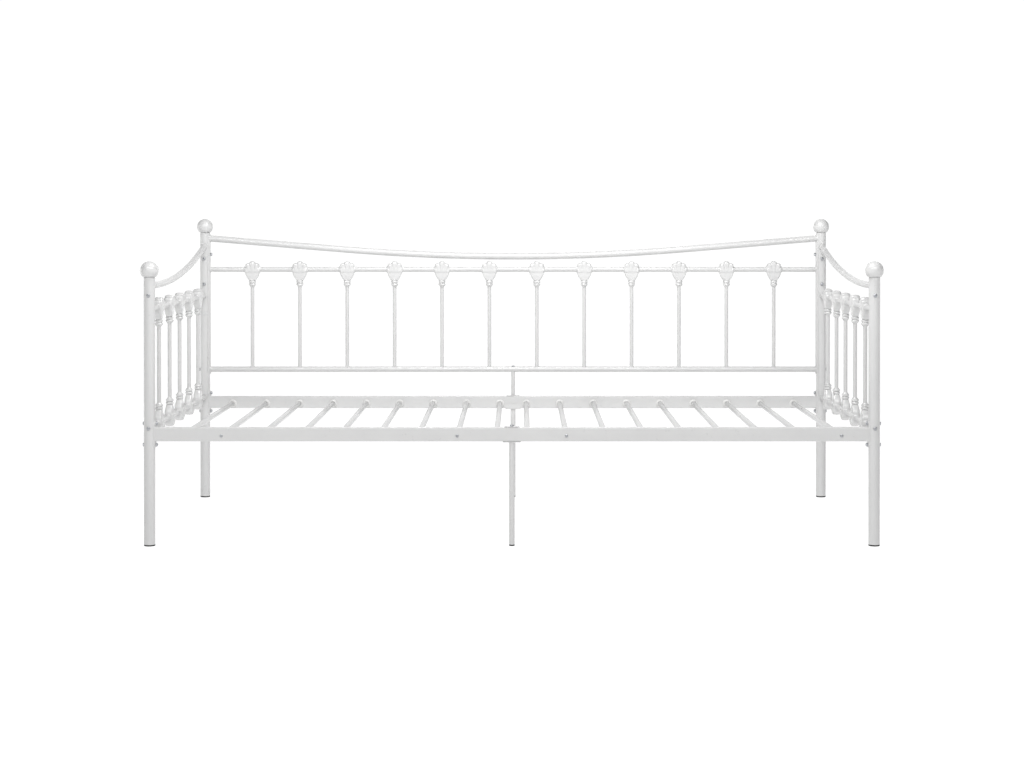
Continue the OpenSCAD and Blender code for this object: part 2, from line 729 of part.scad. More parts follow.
left_front_post();
right_front_post();
left_back_post();
right_back_post();
left_front_finial();
right_front_finial();
left_back_finial();
right_back_finial();
left_front_glide();
right_front_glide();
left_back_glide();
right_back_glide();
front_side_rail();
back_side_rail();
left_front_saddle();
right_front_saddle();
left_back_saddle();
right_back_saddle();
left_slats();
right_slats();
slat_sockets();
slat_screws();
slat_inserts();
front_centre_leg();
rear_centre_leg();
front_leg_glide();
rear_leg_glide();
front_leg_bracket();
rear_leg_bracket();
front_rail_plate();
rear_rail_plate();
back_strut();
centre_bolts();
centre_inserts();
back_top_rail();
back_upper_rail();
back_lower_rail();
back_spindles();
back_shells();
left_back_strap();
right_back_strap();
left_arm_top_tube();
left_arm_upper_rail();
left_arm_lower_rail();
left_arm_spindles();
left_arm_upper_shells();
left_arm_lower_shells();
left_arm_front_strap();
left_arm_back_strap();
right_arm_top_tube();
right_arm_upper_rail();
right_arm_lower_rail();
right_arm_spindles();
right_arm_upper_shells();
right_arm_lower_shells();
right_arm_front_strap();
right_arm_back_strap();
frame_bolts();
cap_nuts();
rail_inserts();
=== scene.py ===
# White tube daybed for a single mattress, detailed for looks over its CAD frame.
# Metres, +X right, +Y to the back, +Z up. Each piece is one mesh that stands for one CAD node.
import math

import bmesh
import bpy
from mathutils import Matrix, Vector


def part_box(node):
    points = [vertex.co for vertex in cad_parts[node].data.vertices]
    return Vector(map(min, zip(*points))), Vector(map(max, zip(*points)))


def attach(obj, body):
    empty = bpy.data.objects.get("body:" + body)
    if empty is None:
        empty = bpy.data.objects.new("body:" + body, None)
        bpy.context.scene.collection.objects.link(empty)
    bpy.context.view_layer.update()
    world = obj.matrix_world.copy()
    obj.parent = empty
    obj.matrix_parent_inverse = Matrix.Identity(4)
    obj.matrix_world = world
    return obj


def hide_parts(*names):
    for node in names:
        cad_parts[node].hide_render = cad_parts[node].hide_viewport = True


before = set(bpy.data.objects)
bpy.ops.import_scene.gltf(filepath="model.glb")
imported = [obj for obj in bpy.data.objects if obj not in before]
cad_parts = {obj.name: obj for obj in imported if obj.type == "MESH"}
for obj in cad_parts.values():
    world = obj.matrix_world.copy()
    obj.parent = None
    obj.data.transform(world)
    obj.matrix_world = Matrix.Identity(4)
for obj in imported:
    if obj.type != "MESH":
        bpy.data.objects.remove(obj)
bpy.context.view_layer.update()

MM = 0.001
SIDES = {"left": -1, "right": 1}
ENDS = {"front": -1, "back": 1}
X, Y, Z = Vector((1, 0, 0)), Vector((0, 1, 0)), Vector((0, 0, 1))

# Counts and heights that a CAD node's box doesn't give
SLATS = 9
BACK_SPINDLES = 12
ARM_SPINDLES = 5
TIED_SLATS = ((-1, 7), (-1, 1), (1, 1), (1, 8))
RAIL_BOLT = 30 * MM
BACK_BOLT_Z = 807 * MM
ARM_FRONT_BOLT_Z = 708 * MM
ARM_BACK_BOLT_Z = 709 * MM
ARM_HIGH_BOLT_Z = 793 * MM
ARM_LOW_POINT = 120 * MM
BOLT_R = 3 * MM
HEAD_R = 5.3 * MM
HEAD_H = 2.8 * MM
NUT_FLAT = 5 * MM
NUT_REACH = 4.5 * MM
INSERT_REACH = 11 * MM
CENTRE_GRIP = 12 * MM
SCREW_R = 2.5 * MM
SCREW_HEAD_R = 4.5 * MM
SCREW_LEN = 34 * MM

# Gaps, eased edges and hidden plugs
SEAM = 0.6 * MM
RIM = 0.8 * MM
SKIN = 0.1 * MM
WELD_SINK = 0.15 * MM
BALL_PLUG = 18 * MM
BALL_WALL = 1.6 * MM
GLIDE_WALL = 1.7 * MM

# Sharper edges than this stay crisp, in degrees
CREASE = 38


# ---- boxes of the CAD nodes ----------------------------------------------------------

class Box:
    """Box of one CAD node: its corners, middle and size."""
    def __init__(self, node):
        self.lo, self.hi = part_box(node)
        self.mid = (self.lo + self.hi) / 2
        self.size = self.hi - self.lo


def post_axis(side, end):
    """Point of a post's axis at floor level."""
    names = [k for k, v in SIDES.items() if v == side] + [k for k, v in ENDS.items() if v == end]
    mid = Box("_".join(names) + "_post").mid
    return Vector((mid.x, mid.y, 0))


POST_R = Box("left_front_post").size.x / 2
AXIS = {(s, e): post_axis(s, e) for s in (-1, 1) for e in (-1, 1)}
STRAP_R = Box("left_front_saddle").hi.x - AXIS[(-1, -1)].x
STRAP_IN = POST_R + SKIN


def across(side):
    """Turn about Z of a fitting that runs along X at a post: its head outside the bed."""
    return 0.0 if side < 0 else math.pi


def along(end):
    """Turn about Z of a fitting that runs along Y at a post."""
    return math.pi / 2 if end < 0 else -math.pi / 2


def at_post(side, end, z, turn):
    """Frame on a post's axis at height z, its own +X towards the strap."""
    return Matrix.Translation(AXIS[(side, end)] + Z * z) @ Matrix.Rotation(turn, 4, "Z")


def spread(first, last, count):
    """Evenly spaced values from first to last."""
    return [first + (last - first) * i / (count - 1) for i in range(count)]


# ---- mesh building -------------------------------------------------------------------

class Shape:
    """Points and faces gathered for one piece."""
    def __init__(self):
        self.verts, self.faces = [], []

    def add(self, verts, faces):
        first = len(self.verts)
        self.verts.extend(verts)
        self.faces.extend(tuple(first + i for i in f) for f in faces)

    def copy_in(self, other, at):
        self.add([at @ v for v in other.verts], other.faces)

    def loft(self, rings, closed=False):
        """Skin over rings of equal length. A closed loft joins its last ring to its first."""
        n = len(rings[0])
        verts = [p for ring in rings for p in ring]
        faces = []
        last = len(rings) if closed else len(rings) - 1
        for k in range(last):
            a, b = k * n, (k + 1) % len(rings) * n
            faces += [(a + i, a + (i + 1) % n, b + (i + 1) % n, b + i) for i in range(n)]
        if not closed:
            faces += [tuple(range(n))[::-1], tuple(range((len(rings) - 1) * n, len(rings) * n))]
        self.add(verts, faces)


def unit_circle(n):
    return [(math.cos(2 * math.pi * i / n), math.sin(2 * math.pi * i / n)) for i in range(n)]


def soften(points, cut, steps=4):
    """A 2-D line with each inner corner rounded, cut back by at most that much."""
    out = [Vector(points[0])]
    for p0, p1, p2 in zip(points, points[1:], points[2:]):
        p0, p1, p2 = Vector(p0), Vector(p1), Vector(p2)
        a_len, b_len = (p0 - p1).length, (p2 - p1).length
        a = p1 + (p0 - p1) * (min(cut, 0.45 * a_len) / a_len)
        b = p1 + (p2 - p1) * (min(cut, 0.45 * b_len) / b_len)
        for i in range(steps + 1):
            t = i / steps
            out.append(a * (1 - t) ** 2 + p1 * (2 * t * (1 - t)) + b * t * t)
    out.append(Vector(points[-1]))
    return out


def lathe(shape, profile, at, n=48, outline=None):
    """Turns (radius, height) points about the frame's Z.
    outline(turn, radius, height) may give another distance for each part of a turn."""
    spin = unit_circle(n)
    rings = []
    for r, z in profile:
        ring = []
        for i, (c, s) in enumerate(spin):
            d = outline(i / n, r, z) if outline else r
            ring.append(at @ Vector((d * c, d * s, z)))
        rings.append(ring)
    shape.loft(rings)


def fit(point, direction, cut):
    """Where a line through point first meets a round bar: cut = (point on its axis, axis, radius).
    A line that misses the bar ends beside its axis."""
    centre, axis, radius = cut
    d = direction - axis * direction.dot(axis)
    o = (point - centre) - axis * (point - centre).dot(axis)
    a, b, c = d.dot(d), 2 * o.dot(d), o.dot(o) - radius * radius
    root = math.sqrt(max(b * b - 4 * a * c, 0.0))
    t = (-b - root) / (2 * a)
    return point + direction * t


def post_cut(side, end):
    """The round face of the straps on a post, for tubes that end there."""
    return (AXIS[(side, end)], Z, STRAP_R - WELD_SINK)


def section_tube(shape, section, start, end, cuts):
    """Straight bar with a 2-D section given as 3-D offsets, each end cut to a round bar."""
    direction = (end - start).normalized()
    middle = (start + end) / 2
    first = [fit(middle + p, -direction, cuts[0]) for p in section]
    last = [fit(middle + p, direction, cuts[1]) for p in section]
    shape.loft([first, last])
    return first, last


def round_section(u, v, radius, n=40):
    return [u * (radius * c) + v * (radius * s) for c, s in unit_circle(n)]


def weld(shape, loop, away, size=1.7 * MM, pitch=2.0 * MM):
    """Rippled bead along a closed loop where a bar meets a strap. away points along the bar."""
    count = len(loop)
    length = sum((loop[i] - loop[i - 1]).length for i in range(count))
    ripples = max(8, round(length / pitch))
    centre = sum(loop, Vector()) / count
    rings = []
    for i, p in enumerate(loop):
        outward = p - centre
        outward = (outward - away * outward.dot(away)).normalized()
        wave = math.sin(2 * math.pi * ripples * i / count)
        slow = math.sin(7 * math.pi * i / count + length * 900)
        r = size * (1 + 0.13 * wave + 0.10 * slow)
        q = p + (outward + away) * (0.12 * size)
        rings.append([q + outward * (r * c) + away * (r * s) for c, s in unit_circle(8)])
    shape.loft(rings, closed=True)


def loop_on(centre, u, v, radius, direction, cut, n=120):
    """Closed line where a round tube meets a round bar."""
    return [fit(centre + u * (radius * c) + v * (radius * s), direction, cut)
            for c, s in unit_circle(n)]


def sweep(shape, path, side, radius, cuts, n=48, welded=True):
    """Round tube along a flat path, side being the normal of its plane, ends cut to round bars."""
    rings = []
    for i, p in enumerate(path):
        t = (path[min(i + 1, len(path) - 1)] - path[max(i - 1, 0)]).normalized()
        up = side.cross(t)
        ring = [p + side * (radius * c) + up * (radius * s) for c, s in unit_circle(n)]
        if i == 0:
            ring = [fit(q, -t, cuts[0]) for q in ring]
            if welded:
                weld(shape, loop_on(p, side, up, radius, -t, cuts[0]), t)
        if i == len(path) - 1:
            ring = [fit(q, t, cuts[1]) for q in ring]
            if welded:
                weld(shape, loop_on(p, side, up, radius, t, cuts[1]), -t)
        rings.append(ring)
    shape.loft(rings)


def straight_tube(shape, start, end, radius, cuts, weld_ends=(True, True), n=32):
    """Straight round tube between two round bars, with a weld at each end that has one."""
    d = (end - start).normalized()
    u = d.orthogonal().normalized()
    v = d.cross(u)
    first, last = section_tube(shape, round_section(u, v, radius, n), start, end, cuts)
    middle = (start + end) / 2
    for wanted, way, cut in ((weld_ends[0], -1, cuts[0]), (weld_ends[1], 1, cuts[1])):
        if wanted:
            weld(shape, loop_on(middle, u, v, radius, d * way, cut), d * -way,
                 size=(1.2 if radius < 7 * MM else 1.6) * MM)
    return first, last


def bevelled_plate(shape, outline, thickness, at, edge=0.4 * MM):
    """Plate with a 2-D outline across the frame's X and Y, its edges eased."""
    centre = sum((Vector(p) for p in outline), Vector((0, 0))) / len(outline)

    def ring(inset, h):
        pts = []
        for p in outline:
            p = Vector(p)
            away = p - centre
            q = p - away.normalized() * inset if away.length > inset else p
            pts.append(at @ Vector((q.x, q.y, h)))
        return pts

    shape.loft([ring(edge, 0), ring(0, edge), ring(0, thickness - edge), ring(edge, thickness)])


def rounded_rect(w, h, r, steps=5):
    """Closed outline of a rectangle with round corners, centred on the origin."""
    out = []
    for k, (sx, sy) in enumerate(((1, 1), (-1, 1), (-1, -1), (1, -1))):
        for i in range(steps + 1):
            a = math.pi / 2 * (k + i / steps)
            out.append(Vector((sx * (w / 2 - r) + r * math.cos(a), sy * (h / 2 - r) + r * math.sin(a))))
    return out


def rail_outline(w, h, r, crown):
    """Outline of a rolled rectangular tube: round corners and walls that bulge by crown."""
    out = []
    corners = rounded_rect(w - 2 * crown, h - 2 * crown, r, 7)
    for p, q in zip(corners, corners[1:] + corners[:1]):
        steps = max(1, round((q - p).length / (0.8 * MM)))
        out += [p.lerp(q, i / steps) for i in range(steps)]
    for p in out:
        p.x += math.copysign(crown, p.x) * (1 - min(abs(p.y) / (h / 2), 1) ** 2)
        p.y += math.copysign(crown, p.y) * (1 - min(abs(p.x) / (w / 2), 1) ** 2)
    return out


# ---- materials -----------------------------------------------------------------------

def node_of(tree, kind, **values):
    node = tree.nodes.new(kind)
    for key, value in values.items():
        if key in node.inputs:
            node.inputs[key].default_value = value
        else:
            setattr(node, key, value)
    return node


def finish_material(name, colours, rough, cloud=5.0, grain=900.0, bump=0.06, depth=0.15,
                    metallic=0.0, coat=0.0, coat_rough=0.1, specks=0.0):
    """Procedural surface: cloudy colour, uneven roughness and a fine bump.
    colours = (darker, lighter); rough = (smoothest, roughest); depth = bump height in mm."""
    mat = bpy.data.materials.new(name)
    mat.use_nodes = True
    tree = mat.node_tree
    shader = tree.nodes["Principled BSDF"]
    shader.inputs["Metallic"].default_value = metallic
    shader.inputs["Coat Weight"].default_value = coat
    shader.inputs["Coat Roughness"].default_value = coat_rough
    place = tree.nodes.new("ShaderNodeTexCoord").outputs["Object"]

    broad = node_of(tree, "ShaderNodeTexNoise", Scale=cloud, Detail=4.0, Roughness=0.55)
    fine = node_of(tree, "ShaderNodeTexNoise", Scale=grain, Detail=2.0, Roughness=0.5)
    mottle = node_of(tree, "ShaderNodeTexNoise", Scale=grain * 0.12, Detail=3.0, Roughness=0.6)
    for texture in (broad, fine, mottle):
        tree.links.new(place, texture.inputs["Vector"])

    mix = node_of(tree, "ShaderNodeMath", operation="MULTIPLY_ADD")
    mix.inputs[1].default_value = 0.35 + specks
    tree.links.new(mottle.outputs["Fac"], mix.inputs[0])
    tree.links.new(broad.outputs["Fac"], mix.inputs[2])
    ramp = tree.nodes.new("ShaderNodeValToRGB")
    ramp.color_ramp.elements[0].position = 0.45
    ramp.color_ramp.elements[0].color = (*colours[0], 1)
    ramp.color_ramp.elements[1].position = 0.85
    ramp.color_ramp.elements[1].color = (*colours[1], 1)
    tree.links.new(mix.outputs[0], ramp.inputs["Fac"])
    tree.links.new(ramp.outputs["Color"], shader.inputs["Base Color"])

    spread_rough = node_of(tree, "ShaderNodeMapRange")
    spread_rough.inputs["From Min"].default_value = 0.3
    spread_rough.inputs["From Max"].default_value = 0.7
    spread_rough.inputs["To Min"].default_value = rough[0]
    spread_rough.inputs["To Max"].default_value = rough[1]
    tree.links.new(mottle.outputs["Fac"], spread_rough.inputs["Value"])
    tree.links.new(spread_rough.outputs["Result"], shader.inputs["Roughness"])

    raised = node_of(tree, "ShaderNodeBump", Strength=bump, Distance=depth * MM)
    tree.links.new(fine.outputs["Fac"], raised.inputs["Height"])
    tree.links.new(raised.outputs["Normal"], shader.inputs["Normal"])
    return mat


MATERIALS = {
    "powder_coat": finish_material("powder_coat_white", ((0.535, 0.535, 0.535), (0.57, 0.57, 0.568)),
                                   (0.27, 0.34), grain=380.0, bump=0.08, depth=0.004, coat=0.45,
                                   coat_rough=0.15),
    "coated_casting": finish_material("casting_coat_white", ((0.57, 0.57, 0.57), (0.61, 0.61, 0.608)),
                                      (0.22, 0.32), grain=300.0, bump=0.1, depth=0.005, coat=0.9,
                                      coat_rough=0.13),
    "ball_coat": finish_material("ball_coat_white", ((0.555, 0.555, 0.555), (0.59, 0.59, 0.588)),
                                 (0.30, 0.40), grain=300.0, bump=0.15, depth=0.004, coat=0.5,
                                 coat_rough=0.20),
    "white_plastic": finish_material("socket_plastic", ((0.66, 0.66, 0.65), (0.72, 0.72, 0.71)),
                                     (0.38, 0.52), grain=1100.0, bump=0.4, depth=0.015),
    "black_plastic": finish_material("glide_plastic", ((0.004, 0.004, 0.004), (0.010, 0.010, 0.010)),
                                     (0.42, 0.60), grain=1000.0, bump=0.5, depth=0.02),
    "zinc_steel": finish_material("zinc_plate", ((0.32, 0.33, 0.35), (0.46, 0.47, 0.49)),
                                  (0.24, 0.42), cloud=60.0, grain=1600.0, bump=0.4, depth=0.01,
                                  metallic=1.0, specks=0.2),
}


def make(node, shape, slot, finish=None):
    """Turns a shape into the piece that stands for that CAD node, finished as its slot or finish."""
    mesh = bpy.data.meshes.new(node)
    mesh.from_pydata([tuple(v) for v in shape.verts], [], shape.faces)
    bm = bmesh.new()
    bm.from_mesh(mesh)
    bmesh.ops.remove_doubles(bm, verts=bm.verts, dist=1e-6)
    bmesh.ops.recalc_face_normals(bm, faces=bm.faces)
    bm.to_mesh(mesh)
    bm.free()
    mesh.polygons.foreach_set("use_smooth", [True] * len(mesh.polygons))
    mesh.set_sharp_from_angle(angle=math.radians(CREASE))
    mesh.materials.append(MATERIALS[finish or slot])
    piece = bpy.data.objects.new("bed_" + node, mesh)
    bpy.context.scene.collection.objects.link(piece)
    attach(piece, "root")
    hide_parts(node)
    return piece


# ---- posts, balls and glides ---------------------------------------------------------

def tube_post(node):
    """Upright tube with eased ends, on its CAD node's axis."""
    b = Box(node)
    r = b.size.x / 2
    shape = Shape()
    low = b.lo.z + RIM
    profile = soften([(0, low), (r, low), (r, b.hi.z), (0, b.hi.z)], SEAM)
    lathe(shape, profile, Matrix.Translation((b.mid.x, b.mid.y, 0)), n=64)
    return shape


def ball_finial(node, post):
    """Ball on a post: a hairline seam, an eased foot, and a plug down the tube."""
    b = Box(node)
    r = b.size.x / 2
    base = Box(post).hi.z
    middle = b.hi.z - r
    foot = base + SEAM
    foot_r = math.sqrt(r * r - (middle - foot) ** 2)
    plug_r = POST_R - BALL_WALL
    plug_end = base - BALL_PLUG
    profile = soften([(0, plug_end), (plug_r, plug_end), (plug_r, foot), (foot_r, foot)],
                     0.3 * MM, steps=2)[:-1]
    low = math.asin((foot - middle) / r)
    profile += [(r * math.cos(a), middle + r * math.sin(a))
                for a in spread(low + 0.03, math.pi / 2, 40)]
    shape = Shape()
    lathe(shape, profile, Matrix.Translation((b.mid.x, b.mid.y, 0)), n=72)
    return shape


def foot_glide(node, tube):
    """Plastic foot: eased rim under the tube and a plug with a tapered end inside it."""
    b = Box(node)
    r = b.size.x / 2
    rim = Box(tube).lo.z + RIM
    plug_r = r - GLIDE_WALL
    lead_in = 2 * MM
    ease = 0.4 * MM
    profile = soften([(0, 0), (r - ease, 0), (r, ease), (r, rim), (plug_r, rim),
                      (plug_r, b.hi.z - lead_in), (plug_r - lead_in, b.hi.z), (0, b.hi.z)],
                     0.3 * MM, steps=3)
    shape = Shape()
    lathe(shape, profile, Matrix.Translation((b.mid.x, b.mid.y, 0)), n=56)
    return shape


for side_name in SIDES:
    for end_name in ENDS:
        corner = f"{side_name}_{end_name}"
        make(corner + "_post", tube_post(corner + "_post"), "powder_coat")
        make(corner + "_finial", ball_finial(corner + "_finial", corner + "_post"),
             "coated_casting", "ball_coat")
        make(corner + "_glide", foot_glide(corner + "_glide", corner + "_post"),
             "black_plastic")


# ---- straps on the posts -------------------------------------------------------------

def curved_strap(at, low, high, width):
    """Round-ended strap bent round a post, its outer edges eased. The frame's +X points at it."""
    half = width / 2
    steps = 14
    outline = []
    for k, (centre, start) in enumerate(((high - half, 0.0), (low + half, math.pi))):
        for i in range(steps + 1):
            a = start + math.pi * i / steps
            outline.append((math.cos(a), math.sin(a), centre))

    def ring(radius, inset):
        pts = []
        for c, s, centre in outline:
            u = (half - inset) * c
            z = centre + (half - inset) * s
            pts.append(at @ Vector((math.sqrt(radius * radius - u * u), u, z)))
        return pts

    ease = 0.7 * MM
    rings = [ring(STRAP_IN, half * k) for k in (0.999, 0.66, 0.33, 0)]
    rings += [ring(STRAP_R - ease, 0), ring(STRAP_R - 0.3 * ease, 0.3 * ease), ring(STRAP_R, ease)]
    rings += [ring(STRAP_R, ease + (half - ease) * k) for k in (0.25, 0.5, 0.75, 0.999)]
    shape = Shape()
    shape.loft(rings)
    return shape


for side_name, s in SIDES.items():
    for end_name, e in ENDS.items():
        node = f"{side_name}_{end_name}_saddle"
        b = Box(node)
        make(node, curved_strap(at_post(s, e, 0, across(s)), b.lo.z, b.hi.z, b.size.y),
             "powder_coat")
        node = f"{side_name}_arm_{end_name}_strap"
        b = Box(node)
        make(node, curved_strap(at_post(s, e, 0, along(e)), b.lo.z, b.hi.z, b.size.x),
             "powder_coat")
    node = f"{side_name}_back_strap"
    b = Box(node)
    make(node, curved_strap(at_post(s, 1, 0, across(s)), b.lo.z, b.hi.z, b.size.y),
         "powder_coat")


# ---- side rails ----------------------------------------------------------------------

def side_rail(node, end):
    """Rectangular tube with rolled corners, welded to its two saddles."""
    b = Box(node)
    section = [Vector((0, p.x, p.y))
               for p in rail_outline(b.size.y, b.size.z, 2.4 * MM, 0.45 * MM)]
    shape = Shape()
    middle = Vector((0, b.mid.y, b.mid.z))
    ends = section_tube(shape, section, middle - X, middle + X,
                        (post_cut(-1, end), post_cut(1, end)))
    for way, loop in zip((-1, 1), ends):
        weld(shape, loop, X * -way, size=1.6 * MM)
    return shape


for end_name, e in ENDS.items():
    node = f"{end_name}_side_rail"
    make(node, side_rail(node, e), "powder_coat")

RAIL = Box("front_side_rail")
RAIL_T = RAIL.size.y
POST_Y = AXIS[(1, 1)].y
RAIL_IN = POST_Y - RAIL_T / 2


# ---- slats ---------------------------------------------------------------------------

SLAT_R = Box("right_slats").size.z / 2
SLAT_Z = Box("right_slats").mid.z
SLAT_END = Box("right_slats").hi.y


def slat_places(side):
    b = Box("left_slats" if side < 0 else "right_slats")
    xs = spread(b.lo.x + SLAT_R, b.hi.x - SLAT_R, SLATS)
    return xs[::-1] if side < 0 else xs


for side_name, s in SIDES.items():
    shape = Shape()
    profile = soften([(0, -SLAT_END), (SLAT_R, -SLAT_END), (SLAT_R, 0), (SLAT_R, SLAT_END),
                      (0, SLAT_END)], SEAM, steps=2)
    for x in slat_places(s):
        at = Matrix.Translation((x, 0, SLAT_Z)) @ Matrix.Rotation(-math.pi / 2, 4, "X")
        lathe(shape, profile, at, n=36)
    make(f"{side_name}_slats", shape, "powder_coat")


def slat_socket():
    """Moulded socket pointing along its own +Z from the rail: flange, fillet and tapered sleeve."""
    b = Box("slat_sockets")
    flange_r = b.size.z / 2
    bore = SLAT_R + SKIN
    sleeve = bore + 2.4 * MM
    reach = 15 * MM
    stud_r = 5 * MM
    stud_end = -2.5 * MM
    stop = 3.2 * MM
    profile = soften([(0, stud_end), (stud_r, stud_end), (stud_r, 0), (flange_r, 0),
                      (flange_r, 2.2 * MM), (sleeve + 1.2 * MM, 3 * MM), (sleeve, 5 * MM),
                      (sleeve - 0.5 * MM, reach), (bore, reach), (bore, stop), (0, stop)],
                     0.7 * MM, steps=3)
    shape = Shape()
    lathe(shape, profile, Matrix.Identity(4), n=44)
    return shape


socket = slat_socket()
shape = Shape()
for e in (-1, 1):
    for s in (-1, 1):
        for x in slat_places(s):
            shape.copy_in(socket, Matrix.Translation((x, e * RAIL_IN, SLAT_Z))
                          @ Matrix.Rotation(e * math.pi / 2, 4, "X"))
make("slat_sockets", shape, "white_plastic")


# ---- bolts, nuts and screws ----------------------------------------------------------

def hexagon(turn, apothem):
    """Distance from the middle to a hexagon's edge at that part of a full turn."""
    a = (turn * 2 * math.pi) % (math.pi / 3) - math.pi / 6
    return apothem / math.cos(a)


def button_head(radius, height, key, skirt):
    """Domed screw head along +Z with a hexagon socket, its skirt running down past the origin."""
    dome = [(0, -skirt), (radius, -skirt), (radius, height * 0.3)]
    dome += [(radius - (radius - key * 1.25) * (1 - math.cos(a)), height * (0.3 + 0.7 * math.sin(a)))
             for a in spread(0.15, math.pi / 2, 8)]
    rim = key * 1.02
    profile = dome + [(rim, height), (key, height - 0.3 * MM), (key, height * 0.35),
                      (0, height * 0.25)]

    def outline(turn, r, z):
        if r <= rim and z > 0 and r > 0:
            return hexagon(turn, r)
        return r

    shape = Shape()
    lathe(shape, profile, Matrix.Identity(4), n=48, outline=outline)
    return shape


def shank(shape, at, start, end, radius):
    lathe(shape, soften([(0, start), (radius, start), (radius, end), (0, end)], 0.5 * MM, 2),
          at, n=20)


def dome_nut():
    """Capped nut along +Z from the origin: chamfered hexagon and dome."""
    flat, deep, top = NUT_FLAT, 3.5 * MM, 6 * MM
    dome_r = 4.4 * MM
    corner = flat / math.cos(math.pi / 6)
    profile = [(0, 0), (flat * 0.98, 0), (flat, 0.5 * MM), (flat, deep - 0.6 * MM),
               (flat * 0.93, deep), (dome_r, deep)]
    profile += [(dome_r * math.cos(a), deep + (top - deep) * math.sin(a))
                for a in spread(0.1, math.pi / 2, 9)]

    def outline(turn, r, z):
        if dome_r + SKIN < r <= flat and z <= deep:
            full = hexagon(turn, flat)
            return min(full, corner * 0.97) * r / flat
        return r

    shape = Shape()
    lathe(shape, profile, Matrix.Identity(4), n=48, outline=outline)
    return shape


HEAD = button_head(HEAD_R, HEAD_H, 2.3 * MM, 1.6 * MM)
NUT = dome_nut()
ARM_LOW_Z = Box("left_arm_lower_rail").mid.z
BACK_LOW_Z = Box("back_lower_rail").mid.z

nut_bolts = [(s, e, RAIL.mid.z + k * RAIL_BOLT, across(s))
             for s in (-1, 1) for e in (-1, 1) for k in (-1, 1)]
nut_bolts += [(s, 1, BACK_BOLT_Z, across(s)) for s in (-1, 1)]
nut_bolts += [(s, -1, ARM_FRONT_BOLT_Z, along(-1)) for s in (-1, 1)]
nut_bolts += [(s, 1, z, along(1)) for s in (-1, 1) for z in (ARM_BACK_BOLT_Z, ARM_HIGH_BOLT_Z)]
insert_bolts = [(s, e, ARM_LOW_Z, along(e)) for s in (-1, 1) for e in (-1, 1)]
insert_bolts += [(s, 1, BACK_LOW_Z, across(s)) for s in (-1, 1)]
TO_STRAP = Matrix.Rotation(math.pi / 2, 4, "Y")
TO_HEAD = Matrix.Rotation(-math.pi / 2, 4, "Y")

shape = Shape()
for bolts, reach in ((nut_bolts, NUT_REACH), (insert_bolts, INSERT_REACH)):
    for bolt in bolts:
        here = at_post(*bolt)
        shape.copy_in(HEAD, here @ Matrix.Translation((-POST_R - SKIN, 0, 0)) @ TO_HEAD)
        shank(shape, here @ TO_STRAP, -POST_R - 1 * MM, STRAP_R + reach, BOLT_R)
make("frame_bolts", shape, "zinc_steel")

shape = Shape()
for bolt in nut_bolts:
    shape.copy_in(NUT, at_post(*bolt) @ Matrix.Translation((STRAP_R, 0, 0)) @ TO_STRAP)
make("cap_nuts", shape, "zinc_steel")

SCREW_HEAD = button_head(SCREW_HEAD_R, 2.6 * MM, 1.7 * MM, 0.3 * MM)
shape = Shape()
for e in (-1, 1):
    for s, i in TIED_SLATS:
        here = (Matrix.Translation((slat_places(s)[i], e * (POST_Y + RAIL_T / 2), SLAT_Z))
                @ Matrix.Rotation(-e * math.pi / 2, 4, "X"))
        shape.copy_in(SCREW_HEAD, here)
        shank(shape, here, -SCREW_LEN, 1 * MM, SCREW_R)
make("slat_screws", shape, "zinc_steel")


# ---- centre legs ---------------------------------------------------------------------

def leg_bracket(node, end):
    """Folded angle under a rail: flat base with round corners and a lip up the inner face."""
    b = Box(node)
    t = 2.5 * MM
    inner = b.hi.y if end < 0 else b.lo.y
    outer = b.lo.y if end < 0 else b.hi.y
    inward = 1 if end < 0 else -1
    bend = 3.2 * MM
    profile = soften([(outer, b.lo.z), (inner, b.lo.z), (inner, b.hi.z)], bend, steps=6)
    profile += [Vector((inner - inward * t, b.hi.z))]
    profile += soften([(inner - inward * t, b.hi.z), (inner - inward * t, b.lo.z + t),
                       (outer, b.lo.z + t)], 0.8 * MM, steps=3)[1:]
    ease = 0.4 * MM
    cy = sum(p[0] for p in profile) / len(profile)
    cz = sum(p[1] for p in profile) / len(profile)

    def ring(x, shrink):
        return [Vector((x, p[0] + (cy - p[0]) * shrink, p[1] + (cz - p[1]) * shrink))
                for p in profile]

    shape = Shape()
    shape.loft([ring(b.lo.x, 0.02), ring(b.lo.x + ease, 0), ring(b.hi.x - ease, 0),
                ring(b.hi.x, 0.02)])
    return shape


for end_name, e, leg_name in (("front", -1, "front"), ("back", 1, "rear")):
    node = f"{leg_name}_centre_leg"
    make(node, tube_post(node), "powder_coat")
    make(f"{leg_name}_leg_glide", foot_glide(f"{leg_name}_leg_glide", node), "black_plastic")
    node = f"{leg_name}_leg_bracket"
    make(node, leg_bracket(node, e), "powder_coat")
    node = f"{leg_name}_rail_plate"
    b = Box(node)
    shape = Shape()
    bevelled_plate(shape, rounded_rect(b.size.x, b.size.y, 3 * MM), b.size.z,
                   Matrix.Translation((b.mid.x, b.mid.y, b.lo.z)))
    make(node, shape, "powder_coat")

PLATE_TOP = Box("front_rail_plate").hi.z
LEG_TOP = Box("front_leg_bracket").lo.z
LOW_RAIL_R = Box("back_lower_rail").size.z / 2
UP_RAIL_Z = Box("back_upper_rail").mid.z
UP_RAIL_R = Box("back_upper_rail").size.z / 2

strut = Box("back_strut")
shape = Shape()
straight_tube(shape, Vector((0, POST_Y, PLATE_TOP)), Vector((0, POST_Y, BACK_LOW_Z)),
              strut.size.x / 2, ((Vector((0, POST_Y, PLATE_TOP - 1)), X, 1.0),
                                 (Vector((0, POST_Y, BACK_LOW_Z)), X, LOW_RAIL_R)),
              weld_ends=(False, False))
make("back_strut", shape, "powder_coat")

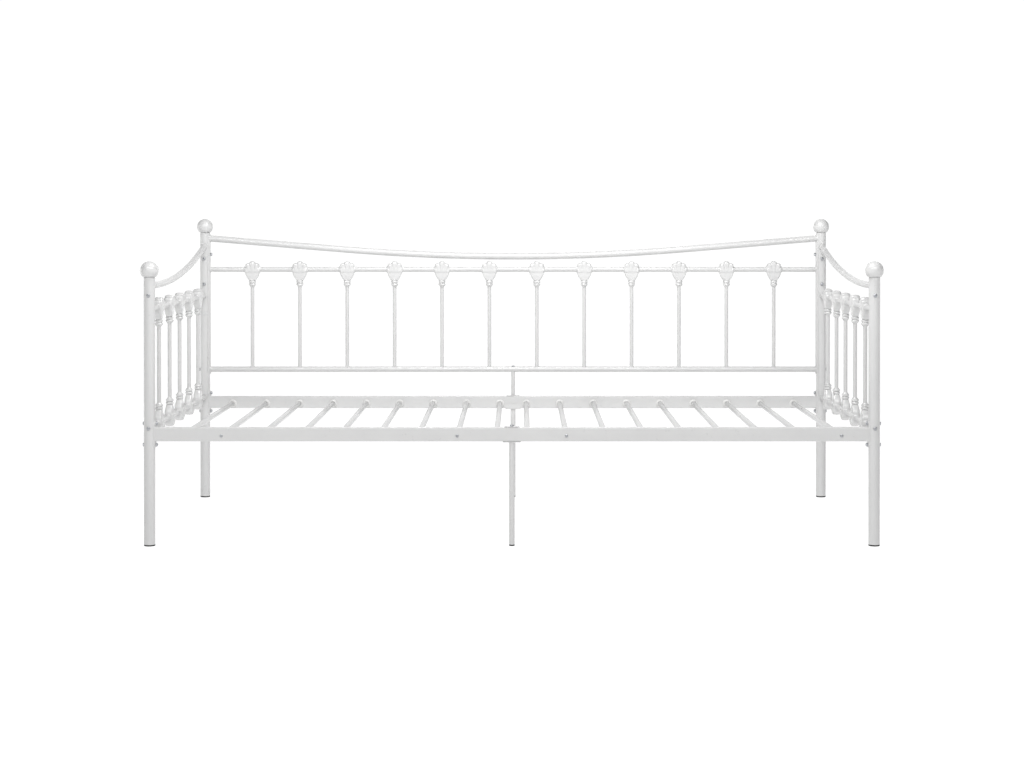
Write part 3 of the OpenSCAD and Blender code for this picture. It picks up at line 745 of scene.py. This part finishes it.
shape = Shape()
for y in (-POST_Y, POST_Y):
    here = Matrix.Translation((0, y, 0))
    top_end = 1 * MM if y < 0 else CENTRE_GRIP
    shank(shape, here, LEG_TOP - CENTRE_GRIP, PLATE_TOP + top_end, BOLT_R)
shape.copy_in(HEAD, Matrix.Translation((0, -POST_Y, PLATE_TOP + 1.6 * MM)))
shape.copy_in(HEAD, Matrix.Translation((0, POST_Y, BACK_LOW_Z + LOW_RAIL_R)))
shank(shape, Matrix.Translation((0, POST_Y, 0)), BACK_LOW_Z - LOW_RAIL_R - CENTRE_GRIP,
      BACK_LOW_Z + LOW_RAIL_R + 1 * MM, BOLT_R)
make("centre_bolts", shape, "zinc_steel")


# ---- scallop shells ------------------------------------------------------------------

# Lobes of the fan's edge, in mm: place across, height, radius
LOBES = ((0.0, 17.0, 11.5), (15.4, 12.4, 8.6), (18.6, -1.5, 6.4))
# Right edge of the fan's body below its lobes, in mm: place across, height
BODY = ((9.6, -37.6), (11.6, -36.4), (13.6, -33.0), (16.2, -29.0), (18.8, -25.0), (21.8, -19.0),
        (24.0, -12.0), (25.2, -4.0), (25.0, 4.0), (22.0, 13.0), (0.0, 22.0))
# Height of the fan's middle, and of the point that its ribs spread from
FOCUS_Z = -16.0
RIB_FOCUS_Z = -40.0
# Directions of the grooves between the ribs, in degrees from straight up
CREASES = (8.4, 24.0, 35.0)
GROOVE_DEPTH = 0.15
GROOVE_WIDTH = 2.4


def ray_to_circle(dx, dz, cx, cz, r):
    """How far a ray from the fan's middle goes before it leaves a circle, or 0."""
    oz = cz - FOCUS_Z
    along_ray = dx * cx + dz * oz
    off = cx * cx + oz * oz - along_ray * along_ray
    return along_ray + math.sqrt(r * r - off) if off < r * r and along_ray > 0 else 0.0


def ray_to_body(dx, dz):
    """How far a ray from the fan's middle goes before it leaves the body's outline."""
    right = [(x, z - FOCUS_Z) for x, z in BODY]
    ring = right + [(-x, z) for x, z in right[-2::-1]]
    far = 0.0
    for (x0, z0), (x1, z1) in zip(ring, ring[1:] + ring[:1]):
        ex, ez = x1 - x0, z1 - z0
        cross = dx * ez - dz * ex
        if abs(cross) > 1e-9:
            t = (x0 * ez - z0 * ex) / cross
            u = (x0 * dz - z0 * dx) / cross
            if t > 0 and -1e-6 <= u <= 1 + 1e-6:
                far = max(far, t)
    return far


def fan_edge(angle):
    """Outline of the fan at that angle from straight up, in mm from its middle."""
    dx, dz = math.sin(angle), math.cos(angle)
    reach = [ray_to_body(dx, dz)]
    for cx, cz, r in LOBES:
        reach += [ray_to_circle(dx, dz, sx * cx, cz, r) for sx in (-1, 1)]
    return max(reach)


def smooth(t):
    t = min(max(t, 0.0), 1.0)
    return t * t * (3 - 2 * t)


def fan_thickness(x, z):
    """Half thickness of the fan at a point of its outline's plane, in mm: a ribbed upper part
    that stands proud of a plain body below the rail."""
    base = 9.2 + 2.0 * smooth((z + 40) / 22) + 2.5 * smooth((z + 13) / 8)
    base += 0.9 * smooth((z - 6) / 10)
    turn = math.degrees(math.atan2(abs(x), z - RIB_FOCUS_Z))
    groove = sum(math.exp(-((turn - c) / GROOVE_WIDTH) ** 2) for c in CREASES)
    return base * (1 - GROOVE_DEPTH * groove * smooth((z + 8) / 18))


def scallop():
    """Cast shell round a rail along X, its neck down round a spindle."""
    shape = Shape()
    turns, steps = 112, 14
    edges = [fan_edge(2 * math.pi * i / turns) for i in range(turns)]
    edges = [(edges[i - 1] + 4 * edges[i] + edges[(i + 1) % turns]) / 6 for i in range(turns)]

    def ring(k, face):
        s = math.sin(math.pi / 2 * k / steps)
        pts = []
        for i, edge in enumerate(edges):
            a = 2 * math.pi * i / turns
            x, z = edge * s * math.sin(a), FOCUS_Z + edge * s * math.cos(a)
            y = fan_thickness(x, z) * math.sqrt(max(0.0, 1 - s ** 18)) * face
            pts.append(Vector((x, y, z)) * MM)
        return pts

    rings = [ring(k, 1) for k in range(steps + 1)] + [ring(k, -1) for k in range(steps - 1, -1, -1)]
    shape.loft(rings)

    # Neck with two beads and a cone that closes on the spindle
    profile = [(0, -30), (7.5, -30), (9.6, -34), (9.6, -37.4)]
    for middle in (-41.4, -49.8):
        profile += [(8.6 + 3.2 * math.cos(a), middle - 3.9 * math.sin(a))
                    for a in spread(-1.4, 1.4, 13)]
    profile += [(9.3, -54.4), (7.4, -56.4), (6.4, -57.9), (6.1, -57.9), (6.1, -50), (0, -50)]
    lathe(shape, [(r * MM, z * MM) for r, z in profile], Matrix.Identity(4), n=40)

    # Collars where the rail comes out, one each side
    for way in (-1, 1):
        profile = [(0, 14), (10.4, 14), (10.4, 23), (10.1, 25.4), (9.3, 26.8), (8.2, 27.4),
                   (0, 27.4)]
        lathe(shape, [(r * MM, z * MM) for r, z in profile],
              Matrix.Rotation(way * math.pi / 2, 4, "Y"), n=40)
    return shape


SHELL = scallop()


# ---- back panel ----------------------------------------------------------------------

BACK_CUTS = (post_cut(-1, 1), post_cut(1, 1))
POST_X = AXIS[(1, 1)].x

top = Box("back_top_rail")
top_r = top.size.y / 2
mid_z = top.lo.z + top_r
end_x = POST_X - STRAP_R
end_z = top.hi.z - top_r * 0.995
bend = 560 * MM
slope = (end_z - mid_z) / (end_x - bend / 2)


def top_rail_z(x):
    """Height of the top rail's axis: a long bend in the middle, then straight to the posts."""
    x = abs(x)
    return mid_z + (slope * x * x / (2 * bend) if x < bend else slope * (x - bend / 2))


shape = Shape()
path = [Vector((x, POST_Y, top_rail_z(x))) for x in spread(-end_x, end_x, 81)]
sweep(shape, path, Y, top_r, BACK_CUTS, n=48)
make("back_top_rail", shape, "powder_coat")

for node in ("back_upper_rail", "back_lower_rail"):
    b = Box(node)
    shape = Shape()
    straight_tube(shape, Vector((-1, POST_Y, b.mid.z)), Vector((1, POST_Y, b.mid.z)),
                  b.size.z / 2, BACK_CUTS, n=40)
    make(node, shape, "powder_coat")

b = Box("back_spindles")
SPINDLE_R = b.size.y / 2
back_xs = spread(b.lo.x + SPINDLE_R, b.hi.x - SPINDLE_R, BACK_SPINDLES)
spindles, shells = Shape(), Shape()
for x in back_xs:
    low, up = Vector((x, POST_Y, BACK_LOW_Z)), Vector((x, POST_Y, UP_RAIL_Z))
    straight_tube(spindles, low, up, SPINDLE_R, ((low, X, LOW_RAIL_R), (up, X, UP_RAIL_R)),
                  weld_ends=(True, False), n=28)
    shells.copy_in(SHELL, Matrix.Translation(up))
make("back_spindles", spindles, "powder_coat")
make("back_shells", shells, "coated_casting")


# ---- arms ----------------------------------------------------------------------------

def arm_top_path(side, node):
    """Axis of an arm's top tube: one bend, lowest near the front post, highest at the back."""
    b = Box(node)
    r = b.size.x / 2
    low_y = AXIS[(side, -1)].y + ARM_LOW_POINT
    run = AXIS[(side, 1)].y - STRAP_R - low_y
    rise = b.hi.z - b.lo.z - r
    radius = (rise * rise - r * r + run * run) / (2 * (rise - r))
    start = AXIS[(side, -1)].y + STRAP_R
    path = []
    for y in spread(start, AXIS[(side, 1)].y - STRAP_R, 49):
        drop = math.sqrt(radius * radius - (y - low_y) ** 2)
        path.append(Vector((AXIS[(side, 1)].x, y, b.lo.z + r + radius - drop)))
    return path, r


for side_name, s in SIDES.items():
    cuts = (post_cut(s, -1), post_cut(s, 1))
    x = AXIS[(s, 1)].x
    node = f"{side_name}_arm_top_tube"
    path, r = arm_top_path(s, node)
    shape = Shape()
    sweep(shape, path, X, r, cuts, n=44)
    make(node, shape, "powder_coat")
    for level in ("upper", "lower"):
        node = f"{side_name}_arm_{level}_rail"
        b = Box(node)
        shape = Shape()
        straight_tube(shape, Vector((x, -1, b.mid.z)), Vector((x, 1, b.mid.z)),
                      b.size.z / 2, cuts, n=36)
        make(node, shape, "powder_coat")
    up_z = Box(f"{side_name}_arm_upper_rail").mid.z
    rail_r = Box(f"{side_name}_arm_upper_rail").size.z / 2
    b = Box(f"{side_name}_arm_spindles")
    spindles, upper, lower = Shape(), Shape(), Shape()
    turn = Matrix.Rotation(math.pi / 2, 4, "Z")
    flip = Matrix.Rotation(math.pi, 4, "Y")
    for y in spread(b.lo.y + SPINDLE_R, b.hi.y - SPINDLE_R, ARM_SPINDLES):
        low, up = Vector((x, y, ARM_LOW_Z)), Vector((x, y, up_z))
        straight_tube(spindles, low, up, SPINDLE_R, ((low, Y, rail_r), (up, Y, rail_r)),
                      weld_ends=(False, False), n=28)
        upper.copy_in(SHELL, Matrix.Translation(up) @ turn)
        lower.copy_in(SHELL, Matrix.Translation(low) @ flip @ turn)
    make(f"{side_name}_arm_spindles", spindles, "powder_coat")
    make(f"{side_name}_arm_upper_shells", upper, "coated_casting")
    make(f"{side_name}_arm_lower_shells", lower, "coated_casting")


# ---- hidden fixings keep their CAD shape ---------------------------------------------

for node in ("slat_inserts", "centre_inserts", "rail_inserts"):
    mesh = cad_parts[node].data
    mesh.materials.clear()
    mesh.materials.append(MATERIALS["zinc_steel"])


# ---- floor, light and camera ---------------------------------------------------------

def area_light(name, place, target, size, energy):
    data = bpy.data.lights.new(name, "AREA")
    data.shape = "RECTANGLE"
    data.size, data.size_y = size
    data.energy = energy
    lamp = bpy.data.objects.new(name, data)
    lamp.visible_camera = False
    bpy.context.scene.collection.objects.link(lamp)
    lamp.location = place
    lamp.rotation_mode = "QUATERNION"
    lamp.rotation_quaternion = (Vector(target) - Vector(place)).to_track_quat("-Z", "Y")


def studio_floor():
    mesh = bpy.data.meshes.new("studio_floor")
    half = 40.0
    mesh.from_pydata([(-half, -half, 0), (half, -half, 0), (half, half, 0), (-half, half, 0)], [],
                     [(0, 1, 2, 3)])
    mat = bpy.data.materials.new("studio_floor_white")
    mat.use_nodes = True
    shader = mat.node_tree.nodes["Principled BSDF"]
    shader.inputs["Base Color"].default_value = (0.12, 0.12, 0.12, 1)
    shader.inputs["Roughness"].default_value = 0.9
    shader.inputs["Specular IOR Level"].default_value = 0.1
    shader.inputs["Emission Color"].default_value = (1, 1, 1, 1)
    shader.inputs["Emission Strength"].default_value = 0.98
    mesh.materials.append(mat)
    floor = bpy.data.objects.new("studio_floor", mesh)
    bpy.context.scene.collection.objects.link(floor)


def studio_world():
    """Soft white room: white all round the horizon, darker above it to the sides."""
    world = bpy.data.worlds.new("studio")
    world.use_nodes = True
    bpy.context.scene.world = world
    tree = world.node_tree
    direction = tree.nodes.new("ShaderNodeTexCoord").outputs["Generated"]
    parts = tree.nodes.new("ShaderNodeSeparateXYZ")
    tree.links.new(direction, parts.inputs[0])

    def rise(axis, start, end):
        part = node_of(tree, "ShaderNodeMapRange", interpolation_type="SMOOTHSTEP")
        part.inputs["From Min"].default_value = start
        part.inputs["From Max"].default_value = end
        tree.links.new(parts.outputs[axis], part.inputs["Value"])
        return part.outputs["Result"]

    def combine(operation, *values):
        node = node_of(tree, "ShaderNodeMath", operation=operation)
        for slot, value in zip(node.inputs, values):
            if isinstance(value, float):
                slot.default_value = value
            else:
                tree.links.new(value, slot)
        return node.outputs[0]

    shade = 0.0
    for axis, start, end, loss in (("X", 0.25, 0.8, 0.94), ("X", -0.25, -0.8, 0.94),
                                   ("Y", -0.1, -0.8, 0.30)):
        shade = combine("MULTIPLY_ADD", rise(axis, start, end), loss, shade)
    strength = combine("MULTIPLY_ADD", rise("Z", 0.14, 0.5), -0.45, 1.04)
    strength = combine("SUBTRACT", strength, combine("MULTIPLY", shade, rise("Z", 0.12, 0.22)))
    tree.links.new(strength, tree.nodes["Background"].inputs["Strength"])
    tree.nodes["Background"].inputs["Color"].default_value = (1, 1, 1, 1)


studio_floor()
studio_world()
area_light("softbox_long", (0, -2.6, 2.4), (0, 0.2, 0.5), (4.4, 0.5), 68)
area_light("softbox_centre", (0, -0.6, 2.3), (0, 0.3, 0.5), (1.2, 0.6), 32)
area_light("strip_left", (-2.8, 0.9, 0.9), (-0.9, 0, 0.5), (0.4, 1.8), 7)

scene = bpy.context.scene
scene.view_settings.view_transform = "Standard"
camera = bpy.data.cameras.new("camera")
camera.lens = 65.3
camera.sensor_width = 36.0
camera.shift_x = -0.0078
camera.shift_y = -0.1465
camera.clip_end = 200
eye = bpy.data.objects.new("camera", camera)
scene.collection.objects.link(eye)
eye.location = (0.023, -5.715, 0.921)
eye.rotation_euler = (math.radians(90 - 0.4255), 0, 0)
scene.camera = eye
